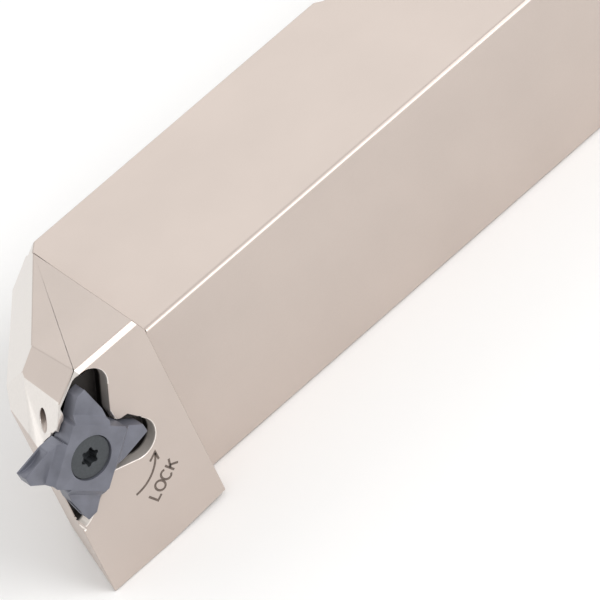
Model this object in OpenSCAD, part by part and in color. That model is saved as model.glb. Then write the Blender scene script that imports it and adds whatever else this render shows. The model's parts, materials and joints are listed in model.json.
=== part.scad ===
/* [Shank] */
// Height of the shank, which is also the height of the cutting edge
shank_h = 25; // [20:0.5:32]
// Width of the shank
shank_w = 25; // [20:0.5:32]
// Length of the whole tool, from the cutting edge to the rear face
tool_len = 150; // [130:1:200]
// Edge break along the shank
edge_break = 0.4; // [0.2:0.1:0.8]

/* [Front block] */
// Length of the wider block behind the head
block_len = 49; // [30:1:60]
// How far the block stands out on the far side
block_out = 1; // [0.5:0.1:3]

/* [Head] */
// How far the insert side of the head stands out from the shank
head_out = 5.2; // [4.5:0.1:7]
// Head's rear wall, measured forward from the shank's shoulder line
head_rear = 2.6; // [1.5:0.1:4]
// Length of the head below the insert, from its rear wall to its front face
head_len = 19; // [18:0.1:22]
// Radius where the head's rear wall runs into the shank
root_r = 2; // [1:0.1:3]
// Angle by which the front face falls back from the cutting side
front_relief = 15.5; // [8:0.5:20]
// Where the front face ends, measured across from the shank's near side
front_w = 8.9; // [8:0.1:12]
// Angle of the far corner's slope, seen from above
corner_angle = 52.4; // [48:0.2:56]
// How far the head stands out beyond the front block on the far side
head_far_out = 1; // [0.5:0.1:1.5]
// Rise of the head's underside towards its rear wall
heel_rise = 0.7; // [0.2:0.1:1.2]

/* [Coolant tower] */
// Height of the tower above the shank, on the insert side
tower_h = 7.1; // [6:0.1:9]
// Length of the tower's level edge, from the shoulder line forward
tower_len = 13; // [11:0.1:14]
// Fall of the tower's front slope
brow_angle = 36; // [25:1:45]
// Where the nose face starts, measured forward from the shoulder line
nose_start = 16.7; // [15:0.1:18]
// Steepness of the nose face
nose_angle = 53; // [48:1:58]
// Turn of the nose face towards the far side
nose_turn = 15; // [12:0.5:18]
// Steepness of the cheek between the nose face and the far corner
cheek_tilt = 60; // [56:1:64]
// Turn of the cheek towards the far side
cheek_turn = 23; // [18:1:28]
// Where the cheek starts, measured across from the shank's near side
cheek_y = 4.9; // [4:0.1:6]
// Steepness of the bevel over the far corner
corner_tilt = 48; // [44:1:54]
// Turn of the bevel over the far corner
corner_turn = 45; // [40:1:50]
// Where that bevel starts, measured across from the shank's near side
bevel_y = 6.6; // [5:0.1:8]
// Width of the bevel between the tower and the head's insert side
tower_bevel = 0.8; // [0.3:0.1:1.2]
// Slope at the top of the tower's rear wall
rear_slope = 0.8; // [0.3:0.1:1.2]

/* [Insert] */
// Width of the cutting edge
cut_w = 2; // [1:0.1:3]
// Height of the insert's centre below its cutting edge
edge_drop = 3.6; // [3:0.1:4.5]
// Reach of the cutting edge forward of the insert's centre
edge_reach = 8.4; // [7.6:0.1:9.2]
// How far the cutting edge stands in front of the head
edge_proud = 3.8; // [3:0.1:5]
// How far the arms stand out from the head's insert side
arm_out = 1; // [0.6:0.1:1.6]
// Height of the end of an arm below its cutting edge
heel_h = 1.4; // [1:0.1:1.8]
// Clearance angle under the cutting edge
heel_angle = 6; // [3:0.5:9]
// Radius of the chip groove in the rake face
chip_r = 3.5; // [3:0.1:4.5]
// Width of the lip on each side of the chip groove
chip_lip = 0.3; // [0.2:0.05:0.5]
// Depth of the chip groove below the cutting edge
chip_depth = 0.3; // [0.1:0.05:0.5]
// Distance between two opposite sides of the hub
hub_w = 8.6; // [8:0.1:8.8]
// Round end of the hub's corners
hub_r = 5.8; // [5.4:0.1:6]
// Step from the arms up to the hub's face
hub_step = 0.9; // [0.4:0.1:1.4]
// Diameter of the round boss behind the arms
boss_d = 7.6; // [7:0.1:8]

/* [Pocket] */
// Depth of the pocket below the head's insert side
pocket_d = 2.6; // [2.4:0.1:3]
// Room between the end of an arm and the pocket's wall
pocket_gap = 1; // [0.6:0.1:1.4]
// Room between the boss and the pocket's wall
seat_gap = 0.05; // [0.02:0.01:0.1]
// Height of the nose's underside above the cutting edge
nose_gap = 1.9; // [1.7:0.1:2.2]
// Fall of the nose's underside towards the floor of the pocket
nose_fall = 45; // [35:1:48]
// Turn that frees the arms in their seat
seat_swing = 3; // [2:0.5:4]
// Wall kept between the pocket and the tower's front slope
brow_wall = 0.4; // [0.3:0.1:0.8]

/* [Insert screw] */
// Thread diameter of the screw
screw_d = 4; // [3.5:0.1:4.5]
// Diameter of the screw's head
screw_head_d = 5.8; // [5.2:0.1:6.4]
// Screw length below the head's cone
screw_len = 9; // [8:0.5:9.5]
// Cone angle of the head
screw_cone = 60; // [50:1:90]
// Size of the star socket, across its points
socket_d = 2.6; // [2:0.1:3]
// Depth of the star socket
socket_depth = 1.5; // [1:0.1:2]
// Room between the screw and what it passes through
screw_gap = 0.1; // [0.05:0.05:0.3]

/* [Coolant] */
// Diameter of the nozzle
nozzle_d = 1.6; // [1:0.1:2]
// Length of the nozzle's drilling
nozzle_len = 8.6; // [7:0.1:9]
// Height of the nozzle's mouth above the cutting edge
nozzle_rise = 1.1; // [0.9:0.1:1.5]
// Distance of the nozzle's mouth behind the cutting edge
nozzle_back = 7.2; // [7:0.1:7.6]
// Offset of the nozzle's mouth from the middle of the cutting edge
nozzle_side = 3.7; // [3.4:0.1:4]
// Diameter of the gallery through the shank
gallery_d = 5; // [4:0.5:6]
// Tapping diameter of the rear port
port_d = 8.8; // [8:0.1:11.8]
// Depth of the rear port's thread
port_len = 12; // [8:0.5:16]
// Diameter of the riser that feeds the nozzle
riser_d = 2.4; // [2:0.1:2.6]
// Diameter of the plug that shuts the riser
plug_d = 6; // [5:0.5:8]
// Length of the plug
plug_len = 5; // [4:0.5:7]
// Width across the flats of the plug's socket
plug_key = 3; // [2:0.5:3]

/* [Hidden] */

$fn = 72;

// Slack that lets one cut run clear of another
over = 1;
// Overlap that joins one form to the next
join = 0.1;
// Larger than any cut
big = 3 * tool_len;

// The shoulder line stands at x = 0 here, the shank runs towards +x
insert_x = edge_reach - edge_proud - head_rear - head_len;
insert_z = shank_h - edge_drop;
tip_x = insert_x - edge_reach;
shank_len = tool_len + tip_x;
origin_x = shank_len / 2;

head_y = -head_out;
front_x = -head_rear - head_len;
far_y = shank_w + block_out;
floor_y = head_y + pocket_d;
arm_near_y = head_y - arm_out;
arm_far_y = arm_near_y + cut_w;
hub_near_y = arm_near_y - hub_step;

tower_z = shank_h + tower_h;
tower_fall = atan2(tower_h, shank_w + head_out);
head_far_y = far_y + head_far_out;
corner_x = front_x + (front_w + head_out) * tan(front_relief);
corner_run = (head_far_y - front_w) / tan(corner_angle);
brow = [-sin(brow_angle), sin(tower_fall), cos(brow_angle)];
brow_top = [-tower_len, head_y, tower_z];
bevel_in = (bevel_y - head_y) * (sin(tower_fall) / cos(brow_angle) - tan(tower_fall)) / tan(brow_angle);
rear_angle = 20;
// How far the nose's edge leans back for each millimetre across
nose_lean = 0.1;

// The nozzle looks from its mouth in the nose at the middle of the cutting edge
edge_mid = [tip_x, arm_near_y + cut_w / 2, shank_h];
nozzle_mouth = edge_mid + [nozzle_back, nozzle_side, nozzle_rise];
nozzle_run = (nozzle_mouth - edge_mid) / norm(nozzle_mouth - edge_mid);
nozzle_root = nozzle_mouth + nozzle_run * nozzle_len;
gallery_z = shank_h / 2;
gallery_y = shank_w / 2;
port_end = [shank_len - port_len, gallery_y, gallery_z];
gallery_run = port_end - [nozzle_root.x, nozzle_root.y, gallery_z];
plug_seat = 0.5;

// The star socket's lobes, and its width between them as a share of the whole
socket_lobe_r = socket_d / 9;
socket_waist = 0.76;

// How the arm's sides run from its edge to the hub
heel_drop = 1.8;
rake_rise = 0.9;
waist_step = 0.3;

// Where the round end of a lobe lies, from the cutting edge of its arm
lobe_more = 1.8;
lobe_in = 1.4;
lobe_up = 0.8;
seat_lip = 0.2;
// Where on its round end a lobe's sides begin
lobe_from = 217;
lobe_to = 63;

// The screw's head sinks a little below the hub's face
screw_sink = 0.3;
// Room in the hole beyond the screw's end
hole_more = 0.5;
screw_rim = 0.12;
cone_h = (screw_head_d - screw_d) / 2 / tan(screw_cone / 2);
hole_end = hub_near_y + screw_sink + screw_len + hole_more;

// The tool's frame: origin under the middle of the shank's base
module in_tool_frame() {
    translate([-origin_x, -shank_w / 2, 0]) children();
}

// Everything on the outer side of a plane through a point
module beyond(point, normal) {
    translate(point)
        rotate([0, acos(normal.z / norm(normal)), atan2(normal.y, normal.x)])
            translate([-big / 2, -big / 2, 0])
                cube(big);
}

// A bar along x with its four long edges broken
module broken_bar(length, width, height) {
    rotate([90, 0, 90])
        linear_extrude(length)
            polygon([
                [edge_break, 0], [width - edge_break, 0],
                [width, edge_break], [width, height - edge_break],
                [width - edge_break, height], [edge_break, height],
                [0, height - edge_break], [0, edge_break]
            ]);
}

// A flat shape in x and z, as thick as asked, that starts at the plane y
module plate(y, thickness) {
    translate([0, y + thickness, 0])
        rotate([90, 0, 0])
            linear_extrude(thickness)
                children();
}

module shank() {
    broken_bar(shank_len, shank_w, shank_h);
}

// The wider block, which steps in again behind its length
module front_block() {
    intersection() {
        translate([-over, 0, 0])
            broken_bar(block_len + over + block_out + over, far_y, shank_h);
        linear_extrude(shank_h)
            polygon([
                [-over, 0], [block_len, 0], [block_len, shank_w - over],
                [block_len + block_out + over, shank_w - over],
                [block_len, far_y], [-over, far_y]
            ]);
    }
}

// The head's front and far sides seen from above, from the insert side round
front_outline = [
    [front_x, head_y], [corner_x, front_w], [corner_x + corner_run, head_far_y]
];

// The head seen from above, with the hollow where it meets the shank
module head_plan() {
    polygon(concat([[0, edge_break], [-head_rear, edge_break], [-head_rear, head_y]],
        front_outline, [[0, head_far_y]]));
    difference() {
        translate([-head_rear - over, -root_r])
            square([root_r + over, root_r + edge_break]);
        translate([-head_rear + root_r, -root_r])
            circle(root_r);
    }
}

// The part of the head that stands above the shank, seen from above
module tower_plan() {
    polygon(concat([[-head_rear, head_y]], front_outline, [[0, head_far_y], [0, shank_w]]));
}

// Height of the brow, the tower's front slope
function brow_z(x, y) =
    tower_z + (x + tower_len) * tan(brow_angle) - (y - head_y) * sin(tower_fall) / cos(brow_angle);

// The outward direction of a slope of a given steepness, turned from the front to the far side
function slope(steep, turn) =
    [-sin(steep) * cos(turn), sin(steep) * sin(turn), cos(steep)];

// What the sloping faces take away
module tower_cuts() {
    cheek_x = -nose_start + (cheek_y - head_y) * nose_lean;
    rear_run = tan(rear_angle) * tower_h - head_rear - rear_slope;
    beyond([0, shank_w, shank_h], [0, sin(tower_fall), cos(tower_fall)]);
    beyond(brow_top, brow);
    beyond([-nose_start, head_y, brow_z(-nose_start, head_y)], slope(nose_angle, nose_turn));
    beyond([cheek_x, cheek_y, brow_z(cheek_x, cheek_y)], slope(cheek_tilt, cheek_turn));
    beyond([0, head_y + tower_bevel, tower_z], [0, -1, 1]);
    beyond([-tower_len, head_y + tower_bevel, tower_z], [brow.x, -1, brow.z]);
    beyond([-head_rear - rear_slope, head_y, tower_z],
        [1, rear_run / (shank_w + head_out), tan(rear_angle)]);
}

// The bevel over the far corner, which also trims the block behind it
module corner_bevel() {
    bevel_x = -tower_len + bevel_in;
    beyond([bevel_x, bevel_y, brow_z(bevel_x, bevel_y)], slope(corner_tilt, corner_turn));
}

module head() {
    difference() {
        union() {
            linear_extrude(shank_h) head_plan();
            linear_extrude(tower_z + over) tower_plan();
        }
        tower_cuts();
        beyond([-head_rear - head_len / 2, 0, 0], [heel_rise, 0, -head_len / 2]);
    }
}

// One arm of the star, seen from the insert side, edge to the left
module arm_shape() {
    waist = hub_r + waist_step;
    polygon([
        [-edge_reach, edge_drop],
        [-edge_reach + heel_h * tan(heel_angle), edge_drop - heel_h],
        [-waist, edge_drop - heel_h - heel_drop],
        [-hub_r + waist_step, 0], [0, 0], [-hub_w / 4, edge_drop + rake_rise],
        [-edge_reach / 2, edge_drop + rake_rise], [-edge_reach * 3 / 4, edge_drop + rake_rise / 2]
    ]);
}

module star_shape() {
    for (turn = [0 : 90 : 270])
        rotate(turn) arm_shape();
}

module hub_shape(size) {
    intersection() {
        rotate(45)
            square(size, center = true);
        circle(hub_r);
    }
}

// The hollow moulded into the rake face of each arm
module chip_grooves() {
    chip_up = chip_r - chip_depth;
    chip_back = sqrt(chip_r * chip_r - chip_up * chip_up);
    for (turn = [0 : 90 : 270])
        rotate(turn)
            translate([-edge_reach + chip_back, edge_drop + chip_up])
                circle(chip_r);
}

// Slopes that run from the arms up to the hub's face
module hub_slopes() {
    foot = hub_step + join;
    difference() {
        plate(hub_near_y, foot)
            intersection() {
                star_shape();
                circle(hub_r + hub_step);
            }
        for (turn = [45 : 90 : 315])
            rotate([0, -turn, 0])
                beyond([hub_w / 2, hub_near_y, 0], [1, -1, 0]);
    }
}

// Room around the three arms that are not at work
module arm_lobes() {
    lobe_r = pocket_gap + lobe_more;
    lobe_x = -edge_reach + lobe_in;
    lobe_z = edge_drop + lobe_up;
    for (turn = [90 : 90 : 270])
        rotate(turn) {
            translate([lobe_x, lobe_z])
                circle(lobe_r);
            polygon([
                [lobe_x + lobe_r * cos(lobe_from), lobe_z + lobe_r * sin(lobe_from)],
                [-edge_reach + pocket_gap, seat_lip], [-hub_r, 0], [0, 0],
                [0, hub_r], [-hub_w / 4, hub_r - seat_lip],
                [lobe_x + lobe_r * cos(lobe_to), lobe_z + lobe_r * sin(lobe_to)]
            ]);
        }
}

// The star with room around it
module loose_star() {
    for (sway = [-seat_swing, seat_swing])
        rotate(sway)
            scale(1 + seat_gap)
                star_shape();
    hub_shape(hub_w + 2 * seat_lip);
}

module pocket() {
    wall_point = brow_top - brow / norm(brow) * brow_wall;
    difference() {
        translate([insert_x, 0, insert_z]) {
            plate(head_y - over, pocket_d + over) arm_lobes();
            plate(head_y - over, arm_far_y + seat_lip + over - head_y) loose_star();
        }
        beyond(wall_point, brow);
    }
    translate([insert_x, 0, insert_z])
        rotate([-90, 0, 0]) {
            translate([0, 0, head_y])
                cylinder(h = pocket_d, d = boss_d + 2 * seat_gap);
            translate([0, 0, floor_y - over])
                cylinder(h = hole_end - floor_y + over, d = screw_d + 2 * screw_gap);
        }
    pocket_mouth();
}

// The mouth in front of the star, through which the working arm reaches
module pocket_mouth() {
    low = edge_reach + pocket_gap + lobe_up;
    difference() {
        translate([insert_x, 0, insert_z])
            plate(head_y - over, pocket_d + over)
                polygon([
                    [-hub_w / 4, hub_r + over], [-2 * edge_reach, hub_r + over],
                    [-2 * edge_reach, -low], [-edge_reach / 2, -low], [0, 0]
                ]);
        beyond([0, head_y, shank_h + nose_gap], [0, sin(nose_fall), cos(nose_fall)]);
    }
}

// Passages that bring the coolant from the rear port to the nozzle
module coolant_passages() {
    translate(port_end)
        rotate([0, 90, 0])
            cylinder(h = port_len + over, d = port_d);
    translate(port_end)
        rotate([0, 90, 180 + atan2(gallery_run.y, gallery_run.x)])
            cylinder(h = norm(gallery_run), d = gallery_d);
    translate([nozzle_root.x, nozzle_root.y, 0]) {
        cylinder(h = nozzle_root.z, d = riser_d);
        translate([0, 0, -over])
            cylinder(h = plug_seat + plug_len + over, d = plug_d + 2 * screw_gap);
    }
    translate(nozzle_root)
        rotate([0, -acos(-nozzle_run.z), atan2(nozzle_run.y, nozzle_run.x)])
            cylinder(h = nozzle_len * 2, d = nozzle_d);
}

module holder_body() {
    color([0.80, 0.76, 0.72])
        in_tool_frame()
            difference() {
                union() {
                    shank();
                    front_block();
                    head();
                }
                corner_bevel();
                pocket();
                coolant_passages();
            }
}

module grooving_insert() {
    color([0.52, 0.53, 0.57])
        in_tool_frame()
            translate([insert_x, 0, insert_z])
                difference() {
                    union() {
                        plate(arm_near_y, cut_w) star_shape();
                        plate(hub_near_y, hub_step + cut_w) hub_shape(hub_w);
                        hub_slopes();
                        rotate([-90, 0, 0])
                            translate([0, 0, arm_far_y - over])
                                cylinder(h = floor_y - arm_far_y + over, d = boss_d);
                    }
                    screw_hole();
                    plate(arm_near_y + chip_lip, cut_w - 2 * chip_lip) chip_grooves();
                }
}

// The countersunk hole through the insert
module screw_hole() {
    rim_h = over + screw_sink + screw_rim;
    wide = screw_head_d + 2 * screw_gap;
    narrow = screw_d + 2 * screw_gap;
    translate([0, hub_near_y - over, 0])
        rotate([-90, 0, 0]) {
            cylinder(h = big, d = narrow);
            cylinder(h = rim_h, d = wide);
            translate([0, 0, rim_h])
                cylinder(h = cone_h, d1 = wide, d2 = narrow);
        }
}

module star_socket() {
    circle(d = socket_d * socket_waist);
    for (turn = [0 : 60 : 300])
        rotate(turn)
            translate([socket_d / 2 - socket_lobe_r, 0])
                circle(socket_lobe_r);
}

module insert_screw() {
    color([0.30, 0.32, 0.31])
        in_tool_frame()
            translate([insert_x, hub_near_y + screw_sink, insert_z])
                rotate([-90, 0, 0])
                    difference() {
                        union() {
                            cylinder(h = screw_rim, d = screw_head_d);
                            translate([0, 0, screw_rim])
                                cylinder(h = cone_h, d1 = screw_head_d, d2 = screw_d);
                            cylinder(h = screw_len, d = screw_d);
                        }
                        translate([0, 0, -over])
                            linear_extrude(socket_depth + over) star_socket();
                    }
}

// A screwed plug with a hexagon socket in its outer end
module riser_plug() {
    color([0.45, 0.45, 0.46])
        in_tool_frame()
            translate([nozzle_root.x, nozzle_root.y, plug_seat])
                difference() {
                    cylinder(h = plug_len, d = plug_d);
                    translate([0, 0, -over])
                        cylinder(h = plug_len / 2 + over, d = plug_key / cos(30), $fn = 6);
                }
}

holder_body();
grooving_insert();
insert_screw();
riser_plug();
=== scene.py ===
"""Dresses a grooving tool holder: the finish of its pieces, its mark, its port's thread and a studio."""

import json
import math

import bmesh
import bpy
import numpy as np
from mathutils import Matrix, Vector


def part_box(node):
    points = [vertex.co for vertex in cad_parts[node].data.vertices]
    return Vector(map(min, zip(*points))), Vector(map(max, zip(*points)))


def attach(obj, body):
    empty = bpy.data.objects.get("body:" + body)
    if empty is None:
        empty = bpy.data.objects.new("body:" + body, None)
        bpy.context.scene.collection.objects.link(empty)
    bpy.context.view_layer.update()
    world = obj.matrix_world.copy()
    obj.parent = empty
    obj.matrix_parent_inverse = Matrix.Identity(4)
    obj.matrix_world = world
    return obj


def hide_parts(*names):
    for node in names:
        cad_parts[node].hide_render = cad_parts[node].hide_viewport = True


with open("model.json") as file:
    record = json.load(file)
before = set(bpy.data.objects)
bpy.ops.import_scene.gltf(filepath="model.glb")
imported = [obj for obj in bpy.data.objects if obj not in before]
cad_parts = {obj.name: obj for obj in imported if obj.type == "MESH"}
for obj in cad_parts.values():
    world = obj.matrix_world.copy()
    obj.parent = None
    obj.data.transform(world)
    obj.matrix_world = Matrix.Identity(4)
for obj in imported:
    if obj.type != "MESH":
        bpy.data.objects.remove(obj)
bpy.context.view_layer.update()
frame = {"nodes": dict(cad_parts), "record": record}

bl_info = {
    "name": "Grooving Tool Holder",
    "version": (1, 0, 0),
    "blender": (4, 5, 0),
    "location": "3D View > Sidebar > Tool Holder",
    "description": "Finishes a square-shank grooving tool holder and sets up its studio",
    "category": "Object",
}

MM = 0.001
BODY = "root"

# The camera that fits the photograph: place in metres, axes as unit vectors, focus and image in
# pixels, sensor in millimetres, and the nearest and farthest that it sees, in metres
CAMERA_PLACE = (-0.33024, -0.71472, 0.67121)
CAMERA_RIGHT = (0.72357236, -0.60614639, -0.33019629)
CAMERA_UP = (0.62826099, 0.38021494, 0.67876707)
CAMERA_BACK = (-0.28588664, -0.69858653, 0.65593116)
CAMERA_FOCUS_PX = 8134.87
IMAGE_SIDE_PX = 600
SENSOR_WIDTH = 36
CAMERA_NEAR, CAMERA_FAR = 0.05, 20

# Corners of a CAD node that are closer than this are one corner
MERGED = 0.001 * MM
# A face whose area is less than this times its outline's length is a sliver
SLIVER = 0.002 * MM
# Faces that turn by less than this lie in one plane
FLAT_ANGLE = math.radians(0.3)
# Edges that turn by more than these are shaded sharp, and are bevelled
SHARP_ANGLE = math.radians(12)
BEVEL_ANGLE = math.radians(12.5)

# The insert's pocket: its middle, its reach round that, a depth beyond its floor, and the marked face
# that it is cut into
POCKET_MIDDLE = np.array([-79.3, 0, 21.4]) * MM
POCKET_REACH = 14 * MM
POCKET_BOTTOM = -14 * MM
MARKED_FACE = -17.7 * MM
# The middle of a face in the pocket lies at least this far below the marked face
POCKET_LIP = 0.05 * MM
# The pocket's floor is where a normal's part along Y is below this
FLOOR_NORMAL = -0.9
# The pocket's wall is painted bright, as light, down to the first depth and painted dark, as shade, from
# the second
LIT_DEPTH = 1.4 * MM
SHADE_DEPTH = 1.8 * MM

# Normals of the facets ground after blasting and painted lighter as a highlight for the light they
# catch: the head's far and near bevels and the nozzle's face
GROUND_HIGHLIGHT_FACETS = (
    (-0.5255, 0.5255, 0.6691),
    (-0.4156, -0.7071, 0.5721),
    (-0.7972, 0.3384, 0.5),
    (-0.7714, 0.2067, 0.6018),
)
# A face is one of these facets if its normal is within this angle of the facet's
FACET_SPREAD = math.radians(2)
FACET_ROUGHNESS = 0.3

# The body's finishes, in the order of its materials: blasted, ground with a painted highlight, and the
# pocket's painted light and shade
BLASTED, GROUND_HIGHLIGHT, SHADED_POCKET = range(3)

# The span of a noise that a colour or a roughness follows
NOISE_LOW, NOISE_HIGH = 0.3, 0.7

# At a corner the side of a marked line is drawn out to at most this many times its distance
MITER_LIMIT = 2
# The arrow's curve, where its tip lies on it, in degrees, and the ends of its two barbs round the tip
ARROW_START, ARROW_END, ARROW_TIP = -92, -18, -15.9
ARROW_POINTS = 32
ARROW_BARBS = np.array([[-1.15, -0.72], [0, 0], [0.02, -1.32]]) * MM

# The port's thread: points along it and round it, its start inside the rear face, and how far its
# roots and its closing wall lie outside the bore
THREAD_STEPS_ALONG, THREAD_STEPS_ROUND = 145, 96
THREAD_INSET = 0.5 * MM
THREAD_ROOT = 0.01 * MM
THREAD_BACKING = 0.03 * MM
THREAD_SHARP = math.radians(40)
THREAD_METALLIC, THREAD_ROUGHNESS = 0.8, 0.34

# Turned pieces: node, piece, slot, the setting of its colour, metallic and roughness
TURNED_PIECES = (
    ("insert_screw", "star_screw", "screw_steel", "colour", 0.45, 0.36),
    ("riser_plug", "hex_plug", "plug_steel", "plug_colour", 0.8, 0.32),
)

# The floor: half its side, and how far it lies below the tool
FLOOR_REACH = 4.0
FLOOR_DROP = 0.05 * MM
FLOOR_ROUGHNESS = 0.9
ROOM_COLOUR = (1, 0.995, 0.985, 1)
# The lights look at this point. Each has a name, a direction from there, a distance, a width and the
# setting of its power
LIT_POINT = Vector((-0.03, 0, 0.015))
LIGHTS = (
    ("key_light", (0.30, -0.66, 0.70), 1.0, 0.55, "key"),
    ("back_light", (0.35, 0.75, 0.60), 1.1, 0.8, "fill"),
    ("side_light", (-0.60, 0.75, 0.20), 0.9, 0.5, "side"),
)


# Settings


class HolderSteelSettings(bpy.types.PropertyGroup):
    colour: bpy.props.FloatVectorProperty(
        name="Steel colour",
        description="Colour of the nickel-plated steel",
        subtype="COLOR",
        size=3,
        min=0,
        max=1,
        default=(0.585, 0.51, 0.465),
    )
    # Lighter colour of the ground facets: painted highlight
    highlight_facet_colour: bpy.props.FloatVectorProperty(
        name="Facet colour",
        description="Colour of the facets ground after blasting",
        subtype="COLOR",
        size=3,
        min=0,
        max=1,
        default=(0.74, 0.70, 0.665),
    )
    # Bright colour of the pocket's wall at its rim: painted light
    rim_painted_light_colour: bpy.props.FloatVectorProperty(
        name="Rim colour",
        description="Colour of the pocket's wall near its rim",
        subtype="COLOR",
        size=3,
        min=0,
        max=1,
        default=(0.96, 0.89, 0.83),
    )
    # Near-black colour of the pocket's floor: painted shade
    pocket_painted_shade_colour: bpy.props.FloatVectorProperty(
        name="Pocket colour",
        description="Colour of the dark floor of the insert's pocket",
        subtype="COLOR",
        size=3,
        min=0,
        max=1,
        default=(0.03, 0.026, 0.024),
    )
    roughness: bpy.props.FloatProperty(
        name="Roughness",
        description="Roughness of the blasted surface",
        default=0.42,
        min=0,
        max=1,
        subtype="FACTOR",
    )
    edge_width: bpy.props.FloatProperty(
        name="Edge width",
        description="Width of the bevel on the edges",
        default=0.14 * MM,
        min=0,
        unit="LENGTH",
    )


class CarbideSettings(bpy.types.PropertyGroup):
    colour: bpy.props.FloatVectorProperty(
        name="Coating colour",
        description="Colour of the insert's coating",
        subtype="COLOR",
        size=3,
        min=0,
        max=1,
        default=(0.160, 0.165, 0.198),
    )
    roughness: bpy.props.FloatProperty(
        name="Roughness",
        description="Roughness of the coating",
        default=0.38,
        min=0,
        max=1,
        subtype="FACTOR",
    )
    edge_width: bpy.props.FloatProperty(
        name="Edge width",
        description="Width of the honed edges",
        default=0.07 * MM,
        min=0,
        unit="LENGTH",
    )


class ScrewSettings(bpy.types.PropertyGroup):
    colour: bpy.props.FloatVectorProperty(
        name="Screw colour",
        description="Colour of the blackened screw",
        subtype="COLOR",
        size=3,
        min=0,
        max=1,
        default=(0.06, 0.066, 0.072),
    )
    plug_colour: bpy.props.FloatVectorProperty(
        name="Plug colour",
        description="Colour of the riser's plug",
        subtype="COLOR",
        size=3,
        min=0,
        max=1,
        default=(0.26, 0.26, 0.27),
    )
    edge_width: bpy.props.FloatProperty(
        name="Edge width",
        description="Width of the bevel on the screw's edges",
        default=0.05 * MM,
        min=0,
        unit="LENGTH",
    )


class MarkSettings(bpy.types.PropertyGroup):
    colour: bpy.props.FloatVectorProperty(
        name="Mark colour",
        description="Colour of the laser-marked lines",
        subtype="COLOR",
        size=3,
        min=0,
        max=1,
        default=(0.14, 0.108, 0.09),
    )
    stroke: bpy.props.FloatProperty(
        name="Stroke",
        description="Width of a marked line",
        default=0.32 * MM,
        min=0,
        unit="LENGTH",
    )
    raised: bpy.props.FloatProperty(
        name="Raised",
        description="How far the marked line stands above the face",
        default=0.015 * MM,
        min=0,
        unit="LENGTH",
    )
    face_y: bpy.props.FloatProperty(
        name="Face",
        description="Place of the marked face across the shank",
        default=MARKED_FACE,
        unit="LENGTH",
    )
    word_place: bpy.props.FloatVectorProperty(
        name="Word place",
        description="Lower left corner of the word on the face, along and up",
        size=2,
        default=(-73.456 * MM, 6.959 * MM),
        subtype="XYZ",
        unit="LENGTH",
    )
    word_angle: bpy.props.FloatProperty(
        name="Word angle",
        description="Slope of the word on the face",
        default=math.radians(30.4),
        subtype="ANGLE",
    )
    word_height: bpy.props.FloatProperty(
        name="Word height",
        description="Height of a letter",
        default=1.7 * MM,
        min=0,
        unit="LENGTH",
    )
    arrow_centre: bpy.props.FloatVectorProperty(
        name="Arrow centre",
        description="Centre of the arrow's curve on the face, along and up",
        size=2,
        default=(-75.49 * MM, 14.79 * MM),
        subtype="XYZ",
        unit="LENGTH",
    )
    arrow_radius: bpy.props.FloatProperty(
        name="Arrow radius",
        description="Radius of the arrow's curve",
        default=4.735 * MM,
        min=0,
        unit="LENGTH",
    )


class ThreadSettings(bpy.types.PropertyGroup):
    radius: bpy.props.FloatProperty(
        name="Bore radius",
        description="Radius of the port's wall",
        default=4.4 * MM,
        min=0,
        unit="LENGTH",
    )
    length: bpy.props.FloatProperty(
        name="Length",
        description="Length of the thread",
        default=11 * MM,
        min=0,
        unit="LENGTH",
    )
    pitch: bpy.props.FloatProperty(
        name="Pitch",
        description="Distance from one turn to the next",
        default=0.907 * MM,
        min=0,
        unit="LENGTH",
    )
    depth: bpy.props.FloatProperty(
        name="Depth",
        description="Height of the thread's crests above the wall",
        default=0.4 * MM,
        min=0,
        unit="LENGTH",
    )


class StudioSettings(bpy.types.PropertyGroup):
    floor_colour: bpy.props.FloatVectorProperty(
        name="Floor colour",
        description="Colour of the pale floor",
        subtype="COLOR",
        size=3,
        min=0,
        max=1,
        default=(0.94, 0.94, 0.94),
    )
    sky: bpy.props.FloatProperty(
        name="Room light",
        description="Strength of the even light from all round",
        default=0.79,
        min=0,
    )
    key: bpy.props.FloatProperty(
        name="Key light",
        description="Power of the large soft light near the camera",
        default=4.5,
        min=0,
        subtype="POWER",
    )
    fill: bpy.props.FloatProperty(
        name="Fill light",
        description="Power of the soft light behind the tool",
        default=1.3,
        min=0,
        subtype="POWER",
    )
    side: bpy.props.FloatProperty(
        name="Side light",
        description="Power of the low soft light off the tool's nose",
        default=0.55,
        min=0,
        subtype="POWER",
    )


# Helpers


def add_piece(name, vertices, faces, slot):
    """A new mesh object at the origin that rides with the tool. slot is not used."""
    mesh = bpy.data.meshes.new(name)
    mesh.from_pydata(vertices, [], faces)
    mesh.update()
    piece = bpy.data.objects.new(name, mesh)
    bpy.context.scene.collection.objects.link(piece)
    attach(piece, BODY)
    return piece


def grid_faces(rows, columns):
    """Quads of a grid of rows by columns that closes on itself both ways."""
    row, column = np.meshgrid(np.arange(rows), np.arange(columns), indexing="ij")
    next_row, next_column = (row + 1) % rows, (column + 1) % columns
    quads = np.stack(
        [
            row * columns + column,
            row * columns + next_column,
            next_row * columns + next_column,
            next_row * columns + column,
        ],
        axis=-1,
    )
    return quads.reshape(-1, 4)


def face_outwards(mesh):
    """Turns every face of a closed mesh outwards."""
    shape = bmesh.new()
    shape.from_mesh(mesh)
    bmesh.ops.recalc_face_normals(shape, faces=shape.faces)
    shape.to_mesh(mesh)
    shape.free()


def join_flat_faces(shape):
    """Joins the triangles that lie in one plane into one face."""
    bmesh.ops.dissolve_limit(
        shape, angle_limit=FLAT_ANGLE, verts=shape.verts, edges=shape.edges
    )


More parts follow.
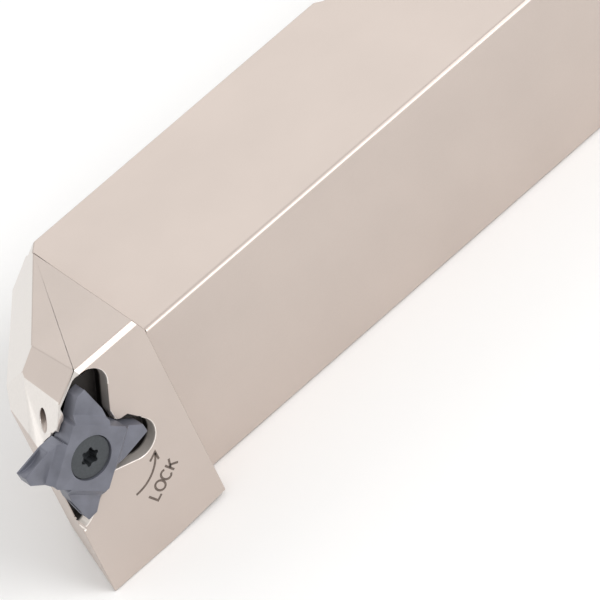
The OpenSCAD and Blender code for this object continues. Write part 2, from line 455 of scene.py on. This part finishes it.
def dressed_node(node, name, edge_width, finishes=None):
    """A merged copy of a CAD node with smooth round faces and a fine bevel on its edges, in its place.
    finishes gives each face its finish from the face's normal and middle."""
    shape = bmesh.new()
    shape.from_mesh(frame["nodes"][node].data)
    bmesh.ops.remove_doubles(shape, verts=shape.verts, dist=MERGED)
    join_flat_faces(shape)
    slivers = [f for f in shape.faces if f.calc_area() < SLIVER * f.calc_perimeter()]
    longest = {max(f.edges, key=lambda edge: edge.calc_length()) for f in slivers}
    bmesh.ops.dissolve_edges(shape, edges=list(longest), use_verts=False)
    join_flat_faces(shape)
    bmesh.ops.recalc_face_normals(shape, faces=shape.faces)
    mesh = bpy.data.meshes.new(name)
    shape.to_mesh(mesh)
    shape.free()
    if finishes:
        count = len(mesh.polygons)
        normals, middles = np.empty(count * 3), np.empty(count * 3)
        mesh.polygons.foreach_get("normal", normals)
        mesh.polygons.foreach_get("center", middles)
        chosen = finishes(normals.reshape(-1, 3), middles.reshape(-1, 3))
        mesh.polygons.foreach_set("material_index", chosen.astype(np.int32))
    mesh.shade_smooth()
    mesh.set_sharp_from_angle(angle=SHARP_ANGLE)
    piece = bpy.data.objects.new(name, mesh)
    bpy.context.scene.collection.objects.link(piece)
    bevel = piece.modifiers.new("Broken edges", "BEVEL")
    bevel.width = edge_width
    bevel.segments = 1
    bevel.limit_method = "ANGLE"
    bevel.angle_limit = BEVEL_ANGLE
    bevel.use_clamp_overlap = False
    bevel.harden_normals = True
    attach(piece, BODY)
    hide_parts(node)
    return piece


def new_surface(name, colour, metallic, roughness):
    """A material, its nodes, links and shader, and its texture coordinates. What is the same all over
    is set on the shader."""
    surface = bpy.data.materials.new(name)
    surface.use_nodes = True
    nodes, links = surface.node_tree.nodes, surface.node_tree.links
    shader = nodes["Principled BSDF"]
    shader.inputs["Base Color"].default_value = (*colour, 1)
    shader.inputs["Metallic"].default_value = metallic
    shader.inputs["Roughness"].default_value = roughness
    place = nodes.new("ShaderNodeTexCoord")
    return surface, nodes, links, shader, place


def add_noise(nodes, links, place, scale, detail, stretch=(1, 1, 1)):
    """Noise over the piece's own coordinates, drawn out along an axis by stretch."""
    mapping = nodes.new("ShaderNodeMapping")
    mapping.inputs["Scale"].default_value = stretch
    noise = nodes.new("ShaderNodeTexNoise")
    noise.inputs["Scale"].default_value = scale
    noise.inputs["Detail"].default_value = detail
    links.new(place.outputs["Object"], mapping.inputs["Vector"])
    links.new(mapping.outputs["Vector"], noise.inputs["Vector"])
    return noise.outputs["Fac"]


def tint(nodes, links, shader, source, colour, spread):
    """Lets the colour wander evenly round its value by spread, following source."""
    ramp = nodes.new("ShaderNodeValToRGB")
    low, high = ramp.color_ramp.elements
    low.position, high.position = NOISE_LOW, NOISE_HIGH
    low.color = (*[c * (1 - spread) for c in colour], 1)
    high.color = (*[min(1, c * (1 + spread)) for c in colour], 1)
    links.new(source, ramp.inputs["Fac"])
    links.new(ramp.outputs["Color"], shader.inputs["Base Color"])


def vary_roughness(nodes, links, shader, source, low, high):
    """Roughness from low to high, following source."""
    span = nodes.new("ShaderNodeMapRange")
    span.inputs["From Min"].default_value = NOISE_LOW
    span.inputs["From Max"].default_value = NOISE_HIGH
    span.inputs["To Min"].default_value = low
    span.inputs["To Max"].default_value = high
    links.new(source, span.inputs["Value"])
    links.new(span.outputs["Result"], shader.inputs["Roughness"])


def add_bump(nodes, links, shader, source, height, strength):
    """Fine relief from source, its height in metres."""
    bump = nodes.new("ShaderNodeBump")
    bump.inputs["Strength"].default_value = strength
    bump.inputs["Distance"].default_value = height
    links.new(source, bump.inputs["Height"])
    links.new(bump.outputs["Normal"], shader.inputs["Normal"])


def blasted_steel(name, colour, roughness):
    """Nickel-plated steel, finely blasted: faintly cloudy, with a grain of about a tenth of a
    millimetre."""
    surface, nodes, links, shader, place = new_surface(name, colour, metallic=0.72, roughness=roughness)
    cloud = add_noise(nodes, links, place, scale=70, detail=3)
    grain = add_noise(nodes, links, place, scale=7000, detail=2)
    tint(nodes, links, shader, cloud, colour, spread=0.03)
    vary_roughness(nodes, links, shader, grain, roughness - 0.05, roughness + 0.06)
    add_bump(nodes, links, shader, grain, height=0.01 * MM, strength=0.35)
    return surface


def steel_finishes(normals, middles):
    """Finish of each face of the body: ground, with a painted highlight, where its normal is one of the
    ground facets', and the pocket's painted light and shade where it is deep enough and near enough
    to the insert, and its normal points at the insert's middle or it is the floor."""
    finish = np.full(len(normals), BLASTED)
    for facet in GROUND_HIGHLIGHT_FACETS:
        # Facets that catch the light get the painted highlight
        finish[normals @ np.array(facet) > math.cos(FACET_SPREAD)] = GROUND_HIGHLIGHT
    towards = POCKET_MIDDLE - middles
    towards[:, 1] = 0
    near = np.linalg.norm(towards, axis=1) < POCKET_REACH
    deep = (middles[:, 1] > MARKED_FACE + POCKET_LIP) & (middles[:, 1] < POCKET_BOTTOM)
    inward = (np.sum(normals * towards, axis=1) > 0) | (normals[:, 1] < FLOOR_NORMAL)
    # Deep faces of the pocket get the painted light and shade
    finish[near & deep & inward] = SHADED_POCKET
    return finish


def pocket_steel(name, rim_painted_light_colour, painted_shade_colour):
    """Milled wall of the pocket, painted bright at the rim as light and painted dark towards the floor
    as shade, by its depth."""
    surface, nodes, links, shader, place = new_surface(name, rim_painted_light_colour, metallic=0.6, roughness=0.4)
    split = nodes.new("ShaderNodeSeparateXYZ")
    depth = nodes.new("ShaderNodeMapRange")
    depth.inputs["From Min"].default_value = MARKED_FACE + LIT_DEPTH
    depth.inputs["From Max"].default_value = MARKED_FACE + SHADE_DEPTH
    # From painted light at the rim to painted shade towards the floor
    ramp = nodes.new("ShaderNodeValToRGB")
    ramp.color_ramp.elements[0].color = (*rim_painted_light_colour, 1)
    ramp.color_ramp.elements[1].color = (*painted_shade_colour, 1)
    links.new(place.outputs["Object"], split.inputs["Vector"])
    links.new(split.outputs["Y"], depth.inputs["Value"])
    links.new(depth.outputs["Result"], ramp.inputs["Fac"])
    links.new(ramp.outputs["Color"], shader.inputs["Base Color"])
    grain = add_noise(nodes, links, place, scale=6000, detail=2)
    vary_roughness(nodes, links, shader, grain, low=0.34, high=0.46)
    return surface


def ground_steel_with_highlight(name, colour, roughness):
    """Facet ground after blasting, smoother, and painted brighter and whiter as a highlight, with small
    nicks in its gloss.
    """
    surface, nodes, links, shader, place = new_surface(name, colour, metallic=0.7, roughness=roughness)
    nicks = add_noise(nodes, links, place, scale=2500, detail=3)
    tint(nodes, links, shader, nicks, colour, spread=0.03)
    vary_roughness(nodes, links, shader, nicks, roughness - 0.02, roughness + 0.02)
    return surface


def coated_carbide(name, colour, roughness):
    """Blue-grey coating over sintered carbide: slight clouds and a fine pitted skin."""
    surface, nodes, links, shader, place = new_surface(name, colour, metallic=0.35, roughness=roughness)
    cloud = add_noise(nodes, links, place, scale=420, detail=4)
    pits = add_noise(nodes, links, place, scale=9000, detail=3)
    tint(nodes, links, shader, cloud, colour, spread=0.14)
    vary_roughness(nodes, links, shader, pits, roughness - 0.06, roughness + 0.08)
    add_bump(nodes, links, shader, pits, height=0.008 * MM, strength=0.3)
    return surface


def turned_steel(name, colour, metallic, roughness):
    """Machined steel, with fine lines drawn out across the shank, along the insert screw's axis."""
    surface, nodes, links, shader, place = new_surface(name, colour, metallic, roughness)
    lines = add_noise(nodes, links, place, scale=3000, detail=2, stretch=(1, 0.15, 1))
    tint(nodes, links, shader, lines, colour, spread=0.12)
    vary_roughness(nodes, links, shader, lines, roughness - 0.05, roughness + 0.08)
    add_bump(nodes, links, shader, lines, height=0.006 * MM, strength=0.3)
    return surface


def dark_mark(name, colour):
    """Matt oxide left by the marking laser, a little uneven along the line."""
    surface, nodes, links, shader, place = new_surface(name, colour, metallic=0, roughness=0.7)
    spots = add_noise(nodes, links, place, scale=5000, detail=2)
    tint(nodes, links, shader, spots, colour, spread=0.25)
    return surface


# Marked lines


def stroke_band(path, closed, width):
    """Left and right edges of a line of even width: each point of the path, moved half the width
    along the normal of the path there, on either side."""
    ahead = np.roll(path, -1, axis=0) - path
    behind = path - np.roll(path, 1, axis=0)
    if not closed:
        ahead[-1] = behind[-1]
        behind[0] = ahead[0]
    ahead /= np.linalg.norm(ahead, axis=1, keepdims=True)
    behind /= np.linalg.norm(behind, axis=1, keepdims=True)
    along = ahead + behind
    along /= np.linalg.norm(along, axis=1, keepdims=True)
    normal = np.stack([-along[:, 1], along[:, 0]], axis=1)
    miter = 1 / np.maximum(1 / MITER_LIMIT, np.sum(along * ahead, axis=1, keepdims=True))
    return path + normal * miter * width / 2, path - normal * miter * width / 2


def stroke_solid(path, closed, width, face_y, raised):
    """A marked line as a flat bar: its four long edges are the two edges of the band, each moved out of
    the face and into it."""
    left, right = stroke_band(path, closed, width)
    front, back = face_y - raised, face_y + raised
    corners = [(left, front), (right, front), (right, back), (left, back)]
    rings = np.stack(
        [np.stack([p[:, 0], np.full(len(p), y), p[:, 1]], axis=1) for p, y in corners],
        axis=1,
    )
    quads = grid_faces(len(path), 4)
    caps = []
    if not closed:
        quads = quads[: (len(path) - 1) * 4]
        last = (len(path) - 1) * 4
        caps = [[3, 2, 1, 0], [last, last + 1, last + 2, last + 3]]
    return rings.reshape(-1, 3), quads.tolist() + caps


def arc_points(centre, radii, start, end, count):
    """Points of an ellipse's arc: the centre plus each radius times the cosine and sine of the angle."""
    angle = np.radians(np.linspace(start, end, count))
    return np.stack(
        [centre[0] + radii[0] * np.cos(angle), centre[1] + radii[1] * np.sin(angle)],
        axis=1,
    )


def letter_strokes():
    """The strokes of the word, in letter heights, as (points, whether they close). The round letters
    are arcs of one ellipse."""
    round_radii = (0.38, 0.5)
    return [
        (np.array([[0, 1], [0, 0], [0.54, 0]], float), False),
        (arc_points((1.08, 0.5), round_radii, 0, 345, 24), True),
        (arc_points((1.98, 0.5), round_radii, 48, 312, 20), False),
        (np.array([[2.53, 0], [2.53, 1]], float), False),
        (np.array([[3.1, 1], [2.56, 0.42]], float), False),
        (np.array([[2.74, 0.6], [3.13, 0]], float), False),
    ]


def join_solids(solids):
    """One list of vertices and one of faces from several solids."""
    vertices, faces, offset = [], [], 0
    for points, loops in solids:
        vertices.append(points)
        faces += [[i + offset for i in loop] for loop in loops]
        offset += len(points)
    return np.concatenate(vertices), faces


# Port thread


def thread_sleeve(thread, rear, middle):
    """A sleeve in the port, up to the place rear on an axis through middle. Its wall at a place along
    the axis and an angle round it stands in from the bore by the depth times a triangle wave of place
    over pitch less angle over a full turn, and it fades to nothing at both ends. A second wall just
    outside the bore closes it."""
    along = np.linspace(0, 1, THREAD_STEPS_ALONG)[:, None]
    turn = np.linspace(0, 1, THREAD_STEPS_ROUND, endpoint=False)[None, :]
    turns = thread.length / thread.pitch
    wave = 1 - np.abs(2 * ((along * turns - turn) % 1) - 1)
    fade = np.clip(np.minimum(along, 1 - along) * turns, 0, 1)
    inner = thread.radius + THREAD_ROOT - thread.depth * wave * fade
    outer = np.full((2, THREAD_STEPS_ROUND), thread.radius + THREAD_BACKING)
    radius = np.concatenate([inner, outer])
    place = np.concatenate([along[:, 0], [1, 0]])[:, None]
    x = rear - thread.length * (1 - place)
    y = middle[1] + radius * np.cos(2 * np.pi * turn)
    z = middle[2] + radius * np.sin(2 * np.pi * turn)
    vertices = np.stack(np.broadcast_arrays(x, y, z), axis=-1).reshape(-1, 3)
    return vertices, grid_faces(THREAD_STEPS_ALONG + 2, THREAD_STEPS_ROUND).tolist()


# Operators


class HOLDER_OT_steel_body(bpy.types.Operator):
    """Finish the holder's steel body"""

    bl_idname = "holder.steel_body"
    bl_label = "Steel Body"

    def execute(self, context):
        steel = context.scene.holder_steel
        piece = dressed_node(
            "holder_body", "steel_body", steel.edge_width, steel_finishes
        )
        for surface in (
            blasted_steel("blasted_steel", steel.colour, steel.roughness),
            # The ground facets carry a painted highlight
            ground_steel_with_highlight("ground_facet", steel.highlight_facet_colour, FACET_ROUGHNESS),
            # The pocket carries painted light and painted shade
            pocket_steel("pocket_steel", steel.rim_painted_light_colour, steel.pocket_painted_shade_colour),
        ):
            piece.data.materials.append(surface)
        return {"FINISHED"}


class HOLDER_OT_star_insert(bpy.types.Operator):
    """Finish the star-shaped insert"""

    bl_idname = "holder.star_insert"
    bl_label = "Star Insert"

    def execute(self, context):
        carbide = context.scene.holder_carbide
        piece = dressed_node(
            "grooving_insert", "star_insert", carbide.edge_width
        )
        piece.data.materials.append(
            coated_carbide("coated_carbide", carbide.colour, carbide.roughness)
        )
        return {"FINISHED"}


class HOLDER_OT_screw_and_plug(bpy.types.Operator):
    """Finish the insert's screw and the riser's plug"""

    bl_idname = "holder.screw_and_plug"
    bl_label = "Screw and Plug"

    def execute(self, context):
        screw = context.scene.holder_screw
        for node, name, slot, setting, metallic, roughness in TURNED_PIECES:
            piece = dressed_node(node, name, screw.edge_width)
            surface = turned_steel(name, getattr(screw, setting), metallic, roughness)
            piece.data.materials.append(surface)
        return {"FINISHED"}


class HOLDER_OT_lock_mark(bpy.types.Operator):
    """Mark the word and the curved arrow beside the insert"""

    bl_idname = "holder.lock_mark"
    bl_label = "Lock Mark"

    def execute(self, context):
        mark = context.scene.holder_mark
        cosine, sine = math.cos(mark.word_angle), math.sin(mark.word_angle)
        axes = np.array([[cosine, sine], [-sine, cosine]])
        word = [
            stroke_solid(
                np.array(mark.word_place) + (points * mark.word_height) @ axes,
                closed,
                mark.stroke,
                mark.face_y,
                mark.raised,
            )
            for points, closed in letter_strokes()
        ]
        centre, radii = np.array(mark.arrow_centre), (mark.arrow_radius, mark.arrow_radius)
        bow = arc_points(centre, radii, ARROW_START, ARROW_END, ARROW_POINTS)
        barbs = arc_points(centre, radii, ARROW_TIP, ARROW_TIP, 1) + ARROW_BARBS
        arrow = [
            stroke_solid(path, False, mark.stroke, mark.face_y, mark.raised)
            for path in (bow, barbs)
        ]
        oxide = dark_mark("dark_mark", mark.colour)
        for name, solids in (("lock_word", word), ("lock_arrow", arrow)):
            piece = add_piece(name, *join_solids(solids), "holder_steel")
            face_outwards(piece.data)
            piece.data.materials.append(oxide)
        return {"FINISHED"}


class HOLDER_OT_port_thread(bpy.types.Operator):
    """Cut the thread of the rear coolant port"""

    bl_idname = "holder.port_thread"
    bl_label = "Port Thread"

    def execute(self, context):
        thread = context.scene.holder_thread
        steel = context.scene.holder_steel
        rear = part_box("holder_body")[1].x - THREAD_INSET
        mounts = {mount["name"]: mount for mount in frame["record"]["mounts"]}
        middle = mounts["coolant_inlet"]["pos_m"]
        vertices, faces = thread_sleeve(thread, rear, middle)
        piece = add_piece("port_thread", vertices, faces, "holder_steel")
        face_outwards(piece.data)
        piece.data.shade_smooth()
        piece.data.set_sharp_from_angle(angle=THREAD_SHARP)
        piece.data.materials.append(
            turned_steel("threaded_steel", steel.colour, THREAD_METALLIC, THREAD_ROUGHNESS)
        )
        return {"FINISHED"}


class HOLDER_OT_studio(bpy.types.Operator):
    """Lay the pale floor and place the soft lights and the camera"""

    bl_idname = "holder.studio"
    bl_label = "Studio"

    def execute(self, context):
        studio = context.scene.holder_studio
        signs = ((-1, -1), (1, -1), (1, 1), (-1, 1))
        corners = [(x * FLOOR_REACH, y * FLOOR_REACH, -FLOOR_DROP) for x, y in signs]
        mesh = bpy.data.meshes.new("studio_floor")
        mesh.from_pydata(corners, [], [(0, 1, 2, 3)])
        floor = bpy.data.objects.new("studio_floor", mesh)
        context.scene.collection.objects.link(floor)
        surface = new_surface("pale_floor", studio.floor_colour, 0, FLOOR_ROUGHNESS)[0]
        mesh.materials.append(surface)

        world = bpy.data.worlds.new("studio_room")
        world.use_nodes = True
        room = world.node_tree.nodes["Background"]
        room.inputs["Color"].default_value = ROOM_COLOUR
        room.inputs["Strength"].default_value = studio.sky
        context.scene.world = world

        for name, towards, away, width, setting in LIGHTS:
            lamp = bpy.data.lights.new(name, "AREA")
            lamp.shape = "DISK"
            lamp.size = width
            lamp.energy = getattr(studio, setting)
            light = bpy.data.objects.new(name, lamp)
            direction = Vector(towards).normalized()
            light.location = LIT_POINT + direction * away
            light.rotation_euler = direction.to_track_quat("Z", "Y").to_euler()
            context.scene.collection.objects.link(light)

        lens = bpy.data.cameras.new("photo_camera")
        lens.sensor_width = SENSOR_WIDTH
        lens.lens = CAMERA_FOCUS_PX * SENSOR_WIDTH / IMAGE_SIDE_PX
        lens.clip_start, lens.clip_end = CAMERA_NEAR, CAMERA_FAR
        camera = bpy.data.objects.new("photo_camera", lens)
        axes = Matrix((CAMERA_RIGHT, CAMERA_UP, CAMERA_BACK)).transposed().to_4x4()
        camera.matrix_world = Matrix.Translation(CAMERA_PLACE) @ axes
        context.scene.collection.objects.link(camera)
        context.scene.camera = camera
        context.scene.view_settings.view_transform = "Standard"
        return {"FINISHED"}


class HOLDER_PT_sidebar(bpy.types.Panel):
    """Lists the tool holder's pieces and their settings"""

    bl_label = "Grooving Tool Holder"
    bl_idname = "HOLDER_PT_sidebar"
    bl_space_type = "VIEW_3D"
    bl_region_type = "UI"
    bl_category = "Tool Holder"

    def draw(self, context):
        for operator, group in STEPS:
            box = self.layout.box()
            box.operator(operator.bl_idname)
            settings = getattr(context.scene, group)
            for name in settings.__annotations__:
                box.prop(settings, name)


SETTINGS = {
    "holder_steel": HolderSteelSettings,
    "holder_carbide": CarbideSettings,
    "holder_screw": ScrewSettings,
    "holder_mark": MarkSettings,
    "holder_thread": ThreadSettings,
    "holder_studio": StudioSettings,
}
STEPS = (
    (HOLDER_OT_steel_body, "holder_steel"),
    (HOLDER_OT_star_insert, "holder_carbide"),
    (HOLDER_OT_screw_and_plug, "holder_screw"),
    (HOLDER_OT_lock_mark, "holder_mark"),
    (HOLDER_OT_port_thread, "holder_thread"),
    (HOLDER_OT_studio, "holder_studio"),
)


def register():
    for name, group in SETTINGS.items():
        bpy.utils.register_class(group)
        setattr(bpy.types.Scene, name, bpy.props.PointerProperty(type=group))
    for operator, _ in STEPS:
        bpy.utils.register_class(operator)
    bpy.utils.register_class(HOLDER_PT_sidebar)


def unregister():
    bpy.utils.unregister_class(HOLDER_PT_sidebar)
    for operator, _ in reversed(STEPS):
        bpy.utils.unregister_class(operator)
    for name, group in reversed(SETTINGS.items()):
        delattr(bpy.types.Scene, name)
        bpy.utils.unregister_class(group)


def main():
    register()
    bpy.ops.holder.steel_body()
    bpy.ops.holder.star_insert()
    bpy.ops.holder.screw_and_plug()
    bpy.ops.holder.lock_mark()
    bpy.ops.holder.port_thread()
    bpy.ops.holder.studio()


if __name__ == "__main__":
    main()
